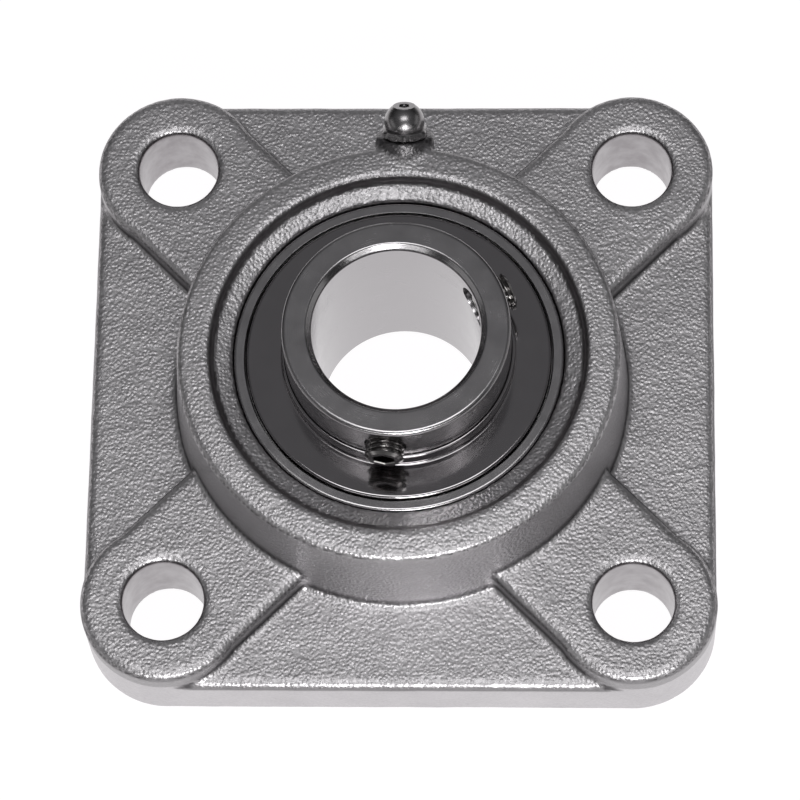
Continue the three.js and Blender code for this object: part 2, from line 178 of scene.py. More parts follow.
def finish_shading(mesh, crease_degrees=32):
    mesh.shade_smooth()
    mesh.set_sharp_from_angle(angle=math.radians(crease_degrees))


def rounded(corners, steps=5):
    """A closed outline of (radius, z) points from corners (radius, z, fillet radius). A point close to each
    end of a fillet keeps the flat beside it flat in shading."""
    outline = []
    for i, (r, z, fillet) in enumerate(corners):
        here = Vector((r, z))
        before = (Vector(corners[i - 1][:2]) - here).normalized()
        after = (Vector(corners[(i + 1) % len(corners)][:2]) - here).normalized()
        half_angle = before.angle(after) / 2
        if fillet == 0 or half_angle > 1.55:
            outline.append((r, z))
            continue
        start = here + before * fillet / math.tan(half_angle)
        end = here + after * fillet / math.tan(half_angle)
        centre = here + (before + after).normalized() * fillet / math.sin(half_angle)
        spoke = start - centre
        sweep = spoke.angle_signed(end - centre)
        outline.append(tuple(start + before * SUPPORT))
        for k in range(steps + 1):
            point = centre + Matrix.Rotation(-sweep * k / steps, 2) @ spoke
            outline.append(tuple(point))
        outline.append(tuple(end + after * SUPPORT))
    return outline


def arc(centre_r, centre_z, radius, start, end, steps):
    """Points of a circle in the (radius, z) plane between two angles in radians."""
    angles = [start + (end - start) * k / steps for k in range(steps + 1)]
    return [(centre_r + radius * math.cos(a), centre_z + radius * math.sin(a)) for a in angles]


def skin(name, rows, segments, place=None):
    """A closed solid through rings (radius, z) about Z. Each of the two is a number or a function of the
    angle. Rings of radius 0 close an end; otherwise the last ring joins the first."""
    points, rings = [], []
    for radius, z in rows:
        if not callable(radius) and radius < 1e-6:
            rings.append([len(points)] * segments)
            points.append((0, 0, z))
            continue
        rings.append(range(len(points), len(points) + segments))
        for k in range(segments):
            angle = TURN * k / segments
            r = radius(angle) if callable(radius) else radius
            height = z(angle) if callable(z) else z
            points.append((r * math.cos(angle), r * math.sin(angle), height))
    ends_on_axis = len(set(rings[0])) == 1
    pairs = list(zip(rings, rings[1:]))
    if not ends_on_axis:
        pairs.append((rings[-1], rings[0]))
    faces = []
    for lower, upper in pairs:
        for k in range(segments):
            following = (k + 1) % segments
            corners = [lower[k], lower[following], upper[following], upper[k]]
            faces.append(list(dict.fromkeys(corners)))
    return new_object(name, points, faces, place)


def about_insert(z=0):
    return Matrix.Translation((0, 0, (CENTRE_Z + z) * MM))


def mirrored(corners):
    """Points or corners of an outline, mirrored from front to back."""
    return [(r, -z, *rest) for r, z, *rest in corners]


def cut(piece, cutter):
    """Takes cutter away from piece for good, by an exact boolean."""
    modifier = piece.modifiers.new("cut", "BOOLEAN")
    modifier.object = cutter
    modifier.operation = "DIFFERENCE"
    modifier.solver = "EXACT"
    bpy.context.view_layer.update()
    evaluated = piece.evaluated_get(bpy.context.evaluated_depsgraph_get())
    mesh = bpy.data.meshes.new_from_object(evaluated)
    piece.modifiers.clear()
    piece.data = mesh
    finish_shading(mesh)
    bpy.data.objects.remove(cutter)


def along(origin, direction):
    """The matrix that puts an object's own origin at origin, in millimetres, and its +Z along direction."""
    turn = AXIS_Z.rotation_difference(Vector(direction)).to_matrix().to_4x4()
    return Matrix.Translation(Vector(origin) * MM) @ turn


def add(piece, body, slot, material, *nodes):
    """Gives a piece its material and its body, and hides the CAD nodes it stands for. The slot is not used.
    """
    piece.data.materials.clear()
    piece.data.materials.append(material)
    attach(piece, body)
    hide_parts(*nodes)
    return piece


# ---- materials -------------------------------------------------------------------------------------
class Nodes:
    """A material's node tree, with short calls for the few nodes used here."""

    def __init__(self, name, colour, metallic, roughness):
        self.material = bpy.data.materials.new(name)
        self.material.use_nodes = True
        self.tree = self.material.node_tree
        self.shader = self.tree.nodes["Principled BSDF"]
        self.shader.inputs["Base Color"].default_value = (*colour, 1)
        self.shader.inputs["Metallic"].default_value = metallic
        self.shader.inputs["Roughness"].default_value = roughness
        self.position = self.add("ShaderNodeTexCoord").outputs["Object"]

    def add(self, kind, **inputs):
        node = self.tree.nodes.new(kind)
        for key, value in inputs.items():
            self.feed(node.inputs[key.replace("_", " ")], value)
        return node

    def feed(self, socket, value):
        if isinstance(value, bpy.types.NodeSocket):
            self.tree.links.new(value, socket)
        else:
            socket.default_value = value

    def math(self, operation, *values):
        node = self.tree.nodes.new("ShaderNodeMath")
        node.operation = operation
        for socket, value in zip(node.inputs, values):
            self.feed(socket, value)
        return node.outputs[0]

    def noise(self, feature, detail=2.0, rough=0.5, vector=None):
        """Noise from 0 to 1 whose lumps are about one feature size across, in millimetres."""
        node = self.add("ShaderNodeTexNoise", Scale=1 / (feature * MM), Detail=detail, Roughness=rough)
        self.feed(node.inputs["Vector"], vector or self.position)
        return node.outputs[0]

    def beads(self, feature):
        """Round bumps from 0 to 1, about one feature size apart, in millimetres."""
        node = self.add("ShaderNodeTexVoronoi")
        node.feature = "SMOOTH_F1"
        self.feed(node.inputs["Vector"], self.position)
        self.feed(node.inputs["Scale"], 1 / (feature * MM))
        self.feed(node.inputs["Smoothness"], 0.5)
        return self.between(node.outputs["Distance"], 1.0, 0.0, 0.0, 0.8)

    def between(self, factor, low, high, start=0.0, end=1.0):
        """factor from start to end becomes low to high."""
        node = self.add("ShaderNodeMapRange")
        keys = ("Value", "From Min", "From Max", "To Min", "To Max")
        for key, value in zip(keys, (factor, start, end, low, high)):
            self.feed(node.inputs[key], value)
        return node.outputs[0]

    def mix(self, factor, first, second):
        node = self.tree.nodes.new("ShaderNodeMix")
        node.data_type = "RGBA"
        self.feed(node.inputs["Factor"], factor)
        self.feed(node.inputs[6], (*first, 1) if isinstance(first, tuple) else first)
        self.feed(node.inputs[7], (*second, 1) if isinstance(second, tuple) else second)
        return node.outputs[2]

    def bump(self, height, distance, strength=1.0):
        """height from 0 to 1 raises the surface by up to distance, in millimetres."""
        node = self.add("ShaderNodeBump", Height=height, Distance=distance * MM, Strength=strength)
        self.tree.links.new(node.outputs[0], self.shader.inputs["Normal"])

    def rings(self, feature):
        """Noise that is constant round the object's own Z axis: the marks of a lathe or a grinder."""
        split = self.add("ShaderNodeSeparateXYZ", Vector=self.position).outputs
        squares = [self.math("POWER", split[k], 2.0) for k in (0, 1)]
        radius = self.math("SQRT", self.math("ADD", *squares))
        joined = self.add("ShaderNodeCombineXYZ", X=radius, Y=split[2], Z=0.0).outputs[0]
        return self.noise(feature, 3, 0.6, joined)


def cast_stainless():
    """Blasted cast stainless steel, with fine round beads of relief that machined faces don't have."""
    # near black, used for painted shade
    shade = (0.06, 0.057, 0.06)
    n = Nodes("cast_stainless", (0.6, 0.585, 0.595), 1.0, 0.3)
    machined = n.add("ShaderNodeAttribute")
    machined.attribute_name = "machined"
    machined = machined.outputs["Fac"]
    cast = n.math("SUBTRACT", 1.0, machined)
    beads = n.between(n.beads(0.52), 0.0, 1.0, 0.15, 0.95)
    grit = n.noise(0.5, 2, 0.5)
    relief = n.math("ADD", n.math("MULTIPLY", beads, 0.6), n.math("MULTIPLY", grit, 0.5))
    n.bump(n.math("MULTIPLY", relief, cast), 0.095)
    tone = n.between(n.noise(9, 3, 0.6), 0.0, 1.0, 0.3, 0.7)
    base = n.mix(tone, (0.52, 0.506, 0.518), (0.58, 0.565, 0.577))
    # painted shade: the colour goes towards near black by each point's painted shade value
    painted_shade = n.add("ShaderNodeAttribute")
    painted_shade.attribute_name = "painted_shade"
    base = n.mix(n.between(painted_shade.outputs["Fac"], 0.0, 0.95, 0.05, 0.8), base, shade)
    stain = n.between(n.noise(2.5, 3, 0.6), 0.0, 1.0, 0.35, 0.65)
    bare = n.mix(stain, (0.29, 0.272, 0.282), (0.38, 0.364, 0.374))
    base = n.mix(machined, base, bare)
    n.feed(n.shader.inputs["Base Color"], base)
    cast_roughness = n.between(grit, 0.38, 0.48, 0.35, 0.65)
    roughness = n.add("ShaderNodeMix", Factor=machined, A=cast_roughness, B=0.28).outputs[0]
    n.feed(n.shader.inputs["Roughness"], roughness)
    return n.material


def turned_steel(name, colour, roughness, feature=0.12, depth=0.004):
    """Ground or turned steel, with faint rings about the piece's own axis and slight smears."""
    n = Nodes(name, colour, 1.0, roughness)
    marks = n.rings(feature)
    smear = n.noise(4, 3, 0.6)
    wear = n.math("MULTIPLY", marks, smear)
    worn_roughness = n.between(wear, 0.8 * roughness, 1.35 * roughness, 0.1, 0.45)
    n.feed(n.shader.inputs["Roughness"], worn_roughness)
    dark = tuple(0.9 * c for c in colour)
    n.feed(n.shader.inputs["Base Color"], n.mix(smear, dark, colour))
    n.bump(marks, depth)
    return n.material


def polished_steel():
    n = Nodes("ball_steel", (0.7, 0.7, 0.71), 1.0, 0.06)
    haze = n.noise(2, 3, 0.6)
    n.feed(n.shader.inputs["Roughness"], n.between(haze, 0.04, 0.1))
    return n.material


def seal_rubber():
    n = Nodes("seal_rubber", (0.02, 0.02, 0.02), 0.0, 0.65)
    grain = n.noise(0.25, 3, 0.6)
    n.feed(n.shader.inputs["Roughness"], n.between(grain, 0.55, 0.75))
    n.feed(n.shader.inputs["Base Color"], n.mix(grain, (0.015, 0.015, 0.015), (0.03, 0.029, 0.028)))
    n.bump(grain, 0.01)
    return n.material


CAST = cast_stainless()
GROUND = turned_steel("ground_steel", (0.43, 0.418, 0.426), 0.22)
SLINGER_STEEL = turned_steel("slinger_steel", (0.34, 0.326, 0.334), 0.1, 0.3, 0.002)
PRESSED = turned_steel("pressed_steel", (0.5, 0.495, 0.495), 0.28, 0.4, 0.003)
SCREW_STEEL = turned_steel("screw_steel", (0.3, 0.29, 0.285), 0.17, 0.2)
NIPPLE_STEEL = turned_steel("nipple_steel", (0.31, 0.3, 0.305), 0.27, 0.15)
BALL_STEEL = polished_steel()
RUBBER = seal_rubber()


# ---- housing: a distance function, then a mesh -----------------------------------------------------
def join_round(a, b, radius):
    """Union of two signed distances, its inner corner filled to a radius."""
    reach = np.hypot(np.maximum(radius - a, 0), np.maximum(radius - b, 0))
    return np.maximum(radius, np.minimum(a, b)) - reach


def keep_round(a, b, radius):
    """Intersection of two signed distances, its outer corner rounded to a radius."""
    reach = np.hypot(np.maximum(radius + a, 0), np.maximum(radius + b, 0))
    return np.minimum(-radius, np.maximum(a, b)) + reach


def between(value, low, high):
    """Signed distance to the space between two parallel planes."""
    return np.abs(value - (low + high) / 2) - (high - low) / 2


def outline_distance(r, z, outline):
    """Signed distance in the (radius, z) plane to a closed outline, negative inside it."""
    nearest = np.full(r.shape, np.inf)
    inside = np.zeros(r.shape, bool)
    for (r0, z0), (r1, z1) in zip(outline, outline[1:] + outline[:1]):
        dr, dz = r1 - r0, z1 - z0
        share = np.clip(((r - r0) * dr + (z - z0) * dz) / (dr * dr + dz * dz), 0, 1)
        nearest = np.minimum(nearest, (r - r0 - share * dr) ** 2 + (z - z0 - share * dz) ** 2)
        crosses = (z0 > z) != (z1 > z)
        if dz:
            inside ^= crosses & (r < r0 + (z - z0) * dr / dz)
    return np.where(inside, -1, 1) * np.sqrt(nearest)


def opening_outline():
    """The rear opening, the spherical seat and the stepped front opening as one outline."""
    edge = math.asin(SEAT_HALF_WIDTH / SEAT_RADIUS)
    seat = arc(0, CENTRE_Z, SEAT_RADIUS, -edge, edge, 16)
    below, above = -3, BOSS_TOP + 3
    rear = [(-1, below), (REAR_WALL[0][0], below), *REAR_WALL]
    front = [MOUTH_CONE, (MOUTH_STEP_RADIUS, BOSS_TOP), (MOUTH_STEP_RADIUS, above), (-1, above)]
    return rear + seat + front


def plate_distance(x, y):
    """Signed distance to the square flange's outline, seen from above."""
    qx = np.abs(x) - (SIDE / 2 - LOBE_RADIUS)
    qy = np.abs(y) - (SIDE / 2 - LOBE_RADIUS)
    outside = np.hypot(np.maximum(qx, 0), np.maximum(qy, 0))
    return outside + np.minimum(np.maximum(qx, qy), 0) - LOBE_RADIUS


def arms_distance(x, y):
    """Signed distance to the two diagonal arms and the four round corner bosses, seen from above."""
    along_arm = (np.abs(x) + np.abs(y)) / math.sqrt(2)
    across_arm = (np.abs(x) - np.abs(y)) / math.sqrt(2)
    reach = HOLE_OFFSET * math.sqrt(2)
    arm = np.hypot(np.maximum(along_arm - reach, 0), across_arm) - ARM_HALF_WIDTH
    lobe = np.hypot(np.abs(x) - HOLE_OFFSET, np.abs(y) - HOLE_OFFSET) - LOBE_RADIUS
    return np.minimum(arm, lobe)


def nipple_frame(x, y, z):
    """Height above the nipple's pad, and distance from the nipple's axis."""
    offset = [c - base for c, base in zip((x, y, z), NIPPLE_BASE)]
    height = sum(o * a for o, a in zip(offset, NIPPLE_AXIS))
    square = sum(o * o for o in offset)
    return height, np.sqrt(np.maximum(square - height * height, 0))


OPENING = opening_outline()


def casting_distance(x, y, z):
    """The casting before any machining. Its parts reach below the mounting face and are cut off there."""
    r = np.hypot(x, y)
    outline = plate_distance(x, y)
    panels = keep_round(outline, z - PANEL_HEIGHT, EDGE_ROUND)
    arms = keep_round(arms_distance(x, y), z - ARM_HEIGHT, EDGE_ROUND)
    slope = (BOSS_BASE_RADIUS - BOSS_TOP_RADIUS) / (BOSS_TOP - PANEL_HEIGHT)
    wall = (r - BOSS_TOP_RADIUS - slope * (BOSS_TOP - z)) / math.hypot(1, slope)
    crown = BOSS_TOP_DROP * (r - MOUTH_STEP_RADIUS)
    boss = keep_round(wall, z - BOSS_TOP + crown, BOSS_EDGE_ROUND)
    body = join_round(join_round(panels, arms, ARM_FILLET), boss, BOSS_FILLET)
    height, radius = nipple_frame(x, y, z)
    root = -LUG_DEPTH - height
    lug_top = np.maximum(height, z - BOSS_TOP + crown)
    lug_round, pad_round = 0.3, 0.2
    lug = keep_round(np.maximum(radius - LUG_RADIUS, root), lug_top, lug_round)
    pad = keep_round(np.maximum(radius - PAD_RADIUS, root), height, pad_round)
    body = join_round(join_round(body, lug, ARM_FILLET), pad, pad_round)
    return keep_round(np.maximum(body, outline), -z, BACK_EDGE_ROUND)


def machining_distance(x, y, z):
    """Everything that is cut out of the casting, as one signed distance."""
    r = np.hypot(x, y)
    opening = outline_distance(r, z, OPENING)
    hole = np.hypot(np.abs(x) - HOLE_OFFSET, np.abs(y) - HOLE_OFFSET) - HOLE_RADIUS
    slot_round = 0.3
    slot_sides = keep_round(r - SEAT_RADIUS, np.abs(y) - SLOT_HALF_WIDTH, slot_round)
    slots = keep_round(slot_sides, z - CENTRE_Z, slot_round)
    groove_side = np.maximum(between(x, GROOVE_NEAR, GROOVE_FAR), np.abs(y) - GROOVE_HALF_WIDTH)
    pin_groove = np.maximum(groove_side, z - GROOVE_TOP)
    height, radius = nipple_frame(x, y, z)
    tapped = np.maximum(radius - TAPPED_RADIUS, -TAPPED_DEPTH - height)
    drilling = np.maximum(radius - DRILLING_RADIUS, between(height, -2 * LUG_DEPTH, 0))
    channel_width = np.abs(x - NIPPLE_BASE.x) - CHANNEL_HALF_WIDTH
    channel_side = np.maximum(channel_width, between(y, CHANNEL_NEAR, CHANNEL_FAR))
    channel = np.maximum(channel_side, between(z, CHANNEL_LOW, CHANNEL_HIGH))
    return np.minimum.reduce([opening, hole, slots, pin_groove, tapped, drilling, channel])


def housing_distance(x, y, z):
    """The machined casting. The edges of the bolt holes and of the mouth are rounder than the others."""
    machined_edge = 0.2
    casting = casting_distance(x, y, z)
    cutting = machining_distance(x, y, z)
    hole = np.hypot(np.abs(x) - HOLE_OFFSET, np.abs(y) - HOLE_OFFSET) - HOLE_RADIUS
    casting = keep_round(casting, -hole, HOLE_ROUND)
    mouth = (z > MOUTH_CONE[1]) & (np.hypot(x, y) < MOUTH_STEP_RADIUS + 1.5)
    return keep_round(casting, -cutting, np.where(mouth, MOUTH_ROUND, machined_edge))


def surface_net(distance, axes):
    """Points and four-sided faces where a distance on a grid passes through zero."""
    values = distance(*np.meshgrid(*axes, indexing="ij"))
    inside = values < 0
    cells = tuple(n - 1 for n in inside.shape)
    count = np.zeros(cells, int)
    for dx in (0, 1):
        for dy in (0, 1):
            for dz in (0, 1):
                count += inside[dx:dx + cells[0], dy:dy + cells[1], dz:dz + cells[2]]
    mixed = (count > 0) & (count < 8)
    index = np.full(cells, -1)
    index[mixed] = np.arange(mixed.sum())
    corner = np.argwhere(mixed)
    total = np.zeros(corner.shape)
    hits = np.zeros(len(corner))
    for axis in range(3):
        u, v = (axis + 1) % 3, (axis + 2) % 3
        for du in (0, 1):
            for dv in (0, 1):
                start = corner.copy()
                start[:, u] += du
                start[:, v] += dv
                end = start.copy()
                end[:, axis] += 1
                a, b = values[tuple(start.T)], values[tuple(end.T)]
                crosses = (a < 0) != (b < 0)
                share = np.where(crosses, a / np.where(crosses, a - b, 1), 0)
                for k in range(3):
                    low, high = axes[k][start[:, k]], axes[k][end[:, k]]
                    total[:, k] += crosses * (low + share * (high - low))
                hits += crosses
    points = total / hits[:, None]
    faces = []
    for axis in range(3):
        u, v = (axis + 1) % 3, (axis + 2) % 3
        first = np.moveaxis(inside, axis, 0)
        edges = np.argwhere(first[:-1] != first[1:])
        order = [axis] + [k for k in range(3) if k != axis]
        cell = np.empty_like(edges)
        cell[:, order] = edges
        solid_below = inside[tuple(cell.T)]
        step_u, step_v = np.eye(3, dtype=int)[u], np.eye(3, dtype=int)[v]
        ring = [cell, cell - step_u, cell - step_u - step_v, cell - step_v]
        quads = np.stack([index[tuple(c.T)] for c in ring], axis=1)
        quads[~solid_below] = quads[~solid_below][:, ::-1]
        faces.append(quads)
    return points, np.concatenate(faces)


def gradient(distance, points, step=0.02):
    """Unit vectors that point straight away from the surface."""
    slopes = []
    for k in range(3):
        shift = np.eye(3)[k] * step
        slopes.append(distance(*(points + shift).T) - distance(*(points - shift).T))
    slopes = np.stack(slopes, axis=1)
    return slopes / np.maximum(np.linalg.norm(slopes, axis=1, keepdims=True), 1e-9)


def on_surface(distance, points, reach):
    """Moves grid points on to the surface, each no further than reach."""
    start = points.copy()
    for _ in range(3):
        points = points - distance(*points.T)[:, None] * gradient(distance, points)
    moved = points - start
    length = np.linalg.norm(moved, axis=1, keepdims=True)
    return start + moved * np.minimum(1, reach / np.maximum(length, 1e-9))


def cast_waviness(points, normals, amount):
    """Sinks each cast point by up to amount, in lumps a few millimetres across."""
    size = 5.0
    lump = np.array([noise.fractal(Vector(p) / size, 1.0, 2.0, 3) for p in points])
    depth = np.clip(0.5 + 0.5 * lump, 0, 1)
    return points - normals * (depth * amount)[:, None]


def painted_shade_amount(points, normals):
    """From 0 to 1, how much painted shade a cast point gets: steep faces in a corner, steep roundings,
    walls above the panels, and the seam round the nipple's seat. This is shade painted into the colour, not
    a stain."""
    reach = 3.2
    rounding_shade, wall_shade, pad_shade = 0.75, 0.36, 0.7
    closeness = np.clip(1 - housing_distance(*(points + normals * reach).T) / reach, 0, 1)
    upward = normals[:, 2]
    steepness = np.clip(1.3 * (1 - upward), 0, 1)
    # painted shade: a dark band on steep roundings, where the edge turns away from the light
    rounding = np.clip((0.75 - upward) / 0.25, 0, 1) * np.clip((upward - 0.12) / 0.2, 0, 1)
    # painted shade on the walls that stand above the panels
    wall = np.clip(1 - 2 * upward, 0, 1) * (points[:, 2] > PANEL_HEIGHT)
    _, from_nipple = nipple_frame(*points.T)
    # painted shade in a ring round the nipple's seat
    pad = np.clip(1 - (from_nipple - PAD_RADIUS - 0.3) / 0.6, 0, 1) * (points[:, 2] > BOSS_TOP - 5)
    # painted shade in corners, where steep faces stand close to other faces
    corner = closeness * steepness
    return np.maximum.reduce([corner, rounding_shade * rounding, wall_shade * wall, pad_shade * pad])


def housing():
    """The casting. Its points carry two values for its material: machined, and the amount of painted shade.
    """
    cell, cell_z = 0.6, 0.5
    wave_depth = 0.09
    half = SIDE / 2 + cell
    across = np.arange(-half, half + cell, cell)
    upward = np.arange(-cell_z * 0.6, HOUSING_HIGH.z + 2 * cell_z, cell_z)
    points, faces = surface_net(housing_distance, (across, across, upward))
    points = on_surface(housing_distance, points, cell)
    normals = gradient(housing_distance, points)
    machined = np.clip(1.5 - np.abs(machining_distance(*points.T)) / 0.2, 0, 1)
    seat_front = CENTRE_Z + 8.4
    cone = (points[:, 2] > seat_front) & (np.hypot(points[:, 0], points[:, 1]) < MOUTH_CONE[0] - 0.1)
    machined[cone] = 0
    machined[points[:, 2] < 0.15] = 1  # the mounting face
    # painted shade for corners, steep roundings, walls and the nipple's seat, kept as a point value
    painted_shade = painted_shade_amount(points, normals)
    points = cast_waviness(points, normals * (1 - machined)[:, None], wave_depth)
    mesh = bpy.data.meshes.new("housing")
    mesh.from_pydata((points * MM).tolist(), [], faces.tolist())
    mesh.shade_smooth()
    mesh.attributes.new("machined", "FLOAT", "POINT").data.foreach_set("value", machined)
    mesh.attributes.new("painted_shade", "FLOAT", "POINT").data.foreach_set("value", painted_shade)
    piece = bpy.data.objects.new("housing", mesh)
    bpy.context.scene.collection.objects.link(piece)
    return add(piece, "housing", "cast_stainless", CAST, "flange_housing")


# ---- rings of the insert bearing -------------------------------------------------------------------
def rod(name, radius, start, end, place, segments=48):
    return skin(name, [(0, start), (radius, start), (radius, end), (0, end)], segments, place)


def outer_ring():
    """Spherical outside with a grease groove and two holes, and a raceway between two seal seats."""
    land, seal_seat, seal_z = 21.6, 23.1, 5
    race = math.asin(math.sqrt(RACE_RADIUS**2 - (land - PITCH_RADIUS) ** 2) / RACE_RADIUS)
    groove_z, groove_half, groove_depth = 4.3, 0.8, 0.5
    groove_front, groove_rear, flank_z = 5.3, 3.3, 7.4  # where the rows of the sphere end

    def sphere_angle(z):
        return math.asin(z / SPHERE_RADIUS)

    def side(sign):
        face = math.sqrt(SPHERE_RADIUS**2 - HALF_WIDTH**2)
        corners = [
            (seal_seat, seal_z, 0.1),
            (seal_seat, HALF_WIDTH, 0.06),
            (face, HALF_WIDTH, 0.5),
            (SPHERE_RADIUS * math.cos(sphere_angle(flank_z)), flank_z, 0),
            (land, 0, 0),
        ]
        points = rounded(corners)[:-2]
        return points if sign > 0 else mirrored(points)

    groove = [
        (math.sqrt(SPHERE_RADIUS**2 - z * z) - depth, z)
        for z, depth in (
            (groove_z + groove_half, 0),
            (groove_z + 0.7 * groove_half, groove_depth),
            (groove_z - 0.7 * groove_half, groove_depth),
            (groove_z - groove_half, 0),
        )
    ]
    outline = arc(PITCH_RADIUS, 0, RACE_RADIUS, -race, race, 20)
    outline += [(land, seal_z)] + side(1)
    outline += arc(0, 0, SPHERE_RADIUS, sphere_angle(flank_z), sphere_angle(groove_front), 4)
    outline += groove
    outline += arc(0, 0, SPHERE_RADIUS, sphere_angle(groove_rear), sphere_angle(-flank_z), 20)
    outline += side(-1)[::-1] + [(land, -seal_z)]
    piece = skin("outer_ring_piece", outline, 192, about_insert())
    grease_hole = rod("grease_hole", 0.75, 20, 27, along((0, 0, CENTRE_Z + groove_z), (0, 1, 0)), 24)
    cut(piece, grease_hole)
    pin_hole = rod("pin_hole", 1.6, 23.6, 27, along((0, 0, CENTRE_Z), (1, 0, 0)), 32)
    cut(piece, pin_hole)
    return add(piece, "insert", "ground_steel", GROUND, "outer_ring")


def inner_ring():
    """The long ring with the shaft's bore, one raceway and two holes for the set screws."""
    race = math.asin(math.sqrt(RACE_RADIUS**2 - (PITCH_RADIUS - INNER_RADIUS) ** 2) / RACE_RADIUS)
    chamfer = 0.85
    corners = [
        (INNER_RADIUS, INNER_REAR, 0.65),
        (INNER_RADIUS, INNER_FRONT, 0.65),
        (BORE_RADIUS + chamfer, INNER_FRONT, 0.5),
        (BORE_RADIUS, INNER_FRONT - chamfer, 0.6),
        (BORE_RADIUS, INNER_REAR + chamfer, 0.2),
        (BORE_RADIUS + chamfer, INNER_REAR, 0.15),
    ]
    outline = rounded(corners)
    raceway = arc(PITCH_RADIUS, 0, RACE_RADIUS, math.pi + race, math.pi - race, 20)
    points_per_corner = 8
    rows = outline[:points_per_corner] + raceway + outline[points_per_corner:]
    piece = skin("inner_ring_piece", rows, 192, about_insert())
    hole_rows = [(0, 11), (3.35, 11), (3.05, 12.8)]  # wider at the bore
    hole_rows += [(3.05, 16.5), (3.45, 16.95), (3.45, 18), (0, 18)]  # and at the ring's outside
    for name in ("set_screw_lower", "set_screw_upper"):
        direction = joints[name + "_travel"]["axis"]
        cut(piece, skin("screw_hole", hole_rows, 48, along((0, 0, CENTRE_Z + SCREW_Z), direction)))
    return add(piece, "inner", "ground_steel", GROUND, "inner_ring")


# ---- balls and cage --------------------------------------------------------------------------------
def sphere(node, radius, body):
    """A polished ball in the place of a CAD node."""
    work = bmesh.new()
    bmesh.ops.create_icosphere(work, subdivisions=4, radius=radius * MM)
    mesh = bpy.data.meshes.new(node + "_piece")
    work.to_mesh(mesh)
    work.free()
    mesh.shade_smooth()
    piece = bpy.data.objects.new(mesh.name, mesh)
    bpy.context.scene.collection.objects.link(piece)
    piece.location = cad_centre(node) * MM
    return add(piece, body, "ball_steel", BALL_STEEL, node)


def balls():
    for i in range(1, BALLS + 1):
        sphere(f"ball_{i}", BALL_RADIUS, f"rolling_ball_{i}")


def cage_half(name, side):
    """A pressed strip that swells into a round pocket over each ball. side is 1 in front, -1 behind."""
    inner, outer, sheet, gap = 17.75, 20.85, 0.6, 0.15
    pocket = BALL_RADIUS + 0.2
    around, across = 45 * BALLS, 8

    def height(x, y, radius, floor):
        angle = math.atan2(y, x)
        nearest = round(angle / TURN * BALLS) * TURN / BALLS
        off_x = x - PITCH_RADIUS * math.cos(nearest)
        off_y = y - PITCH_RADIUS * math.sin(nearest)
        dome = math.sqrt(max(radius**2 - off_x**2 - off_y**2, 0))
        blend = 0.25
        return floor + 0.5 * (dome - floor + math.hypot(dome - floor, blend) - blend)

    rows = []
    for k in range(across + 1):
        r = inner + (outer - inner) * k / across
        rows.append((r, pocket, gap))
    for k in range(across, -1, -1):
        r = inner + (outer - inner) * k / across
        rows.append((r, pocket + sheet, gap + sheet))

    def ring(r, radius, floor):
        return (r, lambda angle: side * height(r * math.cos(angle), r * math.sin(angle), radius, floor))

    rings = [ring(*row) for row in rows]
    piece = skin(name + "_piece", rings, around, about_insert())
    return add(piece, "cage", "pressed_steel", PRESSED, name)


def rivets():
    """Short pins through both halves of the cage, domed at both ends."""
    shank, head, height = 0.6, 1.1, 0.75
    seat = 0.76
    half = [(shank, seat), (head, seat)] + arc(head - 0.4, seat + 0.1, 0.4, 0, math.pi / 2, 4)
    half += [(0.35 * head, seat + height * 0.72), (0, seat + height * 0.74)]
    rows = [(r, -z) for r, z in reversed(half)] + half
    for i in range(1, BALLS + 1):
        name = f"cage_rivet_{i}"
        piece = skin(name + "_piece", rows, 24, Matrix.Translation(cad_centre(name) * MM))
        add(piece, "cage", "pressed_steel", PRESSED, name)


# ---- seals and slingers ----------------------------------------------------------------------------
def both_sides(name, corners, material, slot, body, segments=160):
    """A sheet part in front and its mirror image behind."""
    outline = rounded(corners, 4)
    for side, profile in (("front", outline), ("rear", mirrored(outline))):
        node = f"{side}_{name}"
        add(skin(node + "_piece", profile, segments, about_insert()), body, slot, material, node)


def seals():
    rubber = [
        (17.05, 5.5, 0.1),
        (18.0, 5.2, 0.3),
        (22.8, 5.2, 0.15),
        (22.8, 5.75, 0.15),
        (18.4, 5.75, 0.3),
        (17.9, 6.5, 0.15),
        (17.3, 6.5, 0.15),
    ]
    both_sides("seal", rubber, RUBBER, "seal_rubber", "insert")
    plate = [
        (18.7, 5.86, 0.1),
        (22.95, 5.86, 0.35),
        (22.95, 6.9, 0.12),
        (22.55, 6.9, 0.12),
        (22.55, 6.26, 0.1),
        (18.7, 6.26, 0.1),
    ]
    both_sides("seal_plate", plate, PRESSED, "pressed_steel", "insert")


def slingers():
    """Pressed steel discs on the inner ring: rims turned inwards at both edges, and a collar outwards."""
    inner, outer, sheet, face, collar, rim = 17.0, 22.8, 0.4, 8.7, 11.5, 7.5
    corners = [
        (inner, rim, 0.12),
        (inner + sheet, rim, 0.12),
        (inner + sheet, face - sheet, 0.15),
        (outer - sheet, face - sheet, 0.12),
        (outer - sheet, rim, 0.15),
        (outer, rim, 0.15),
        (outer, face, 0.5),
        (inner + sheet, face, 0.25),
        (inner + sheet, collar, 0.28),
        (inner, collar, 0.04),
    ]
    both_sides("slinger", corners, SLINGER_STEEL, "slinger_steel", "inner", 192)


# ---- set screws, pin and grease nipple -------------------------------------------------------------
def hexagon(flats):
    """Radius of a hexagon at an angle, for a ring of a skin."""
    sector = TURN / 6
    return lambda angle: flats / 2 / math.cos((angle + sector / 2) % sector - sector / 2)


def thread_rows(radius, depth, pitch, start, end, steps_per_turn=10):
    """Rings of a helical thread that fades out at both ends."""
    rows = []
    count = round((end - start) / pitch * steps_per_turn)
    for k in range(count + 1):
        z = start + (end - start) * k / count
        fade = min(1, (z - start) / (0.5 * pitch), (end - z) / (0.5 * pitch))

        def ring(angle, z=z, fade=fade):
            phase = (z / pitch - angle / TURN) % 1
            return radius - fade * depth * min(1, max(0, 1.6 * abs(2 * phase - 1) - 0.3))

        rows.append((ring, z))
    return rows


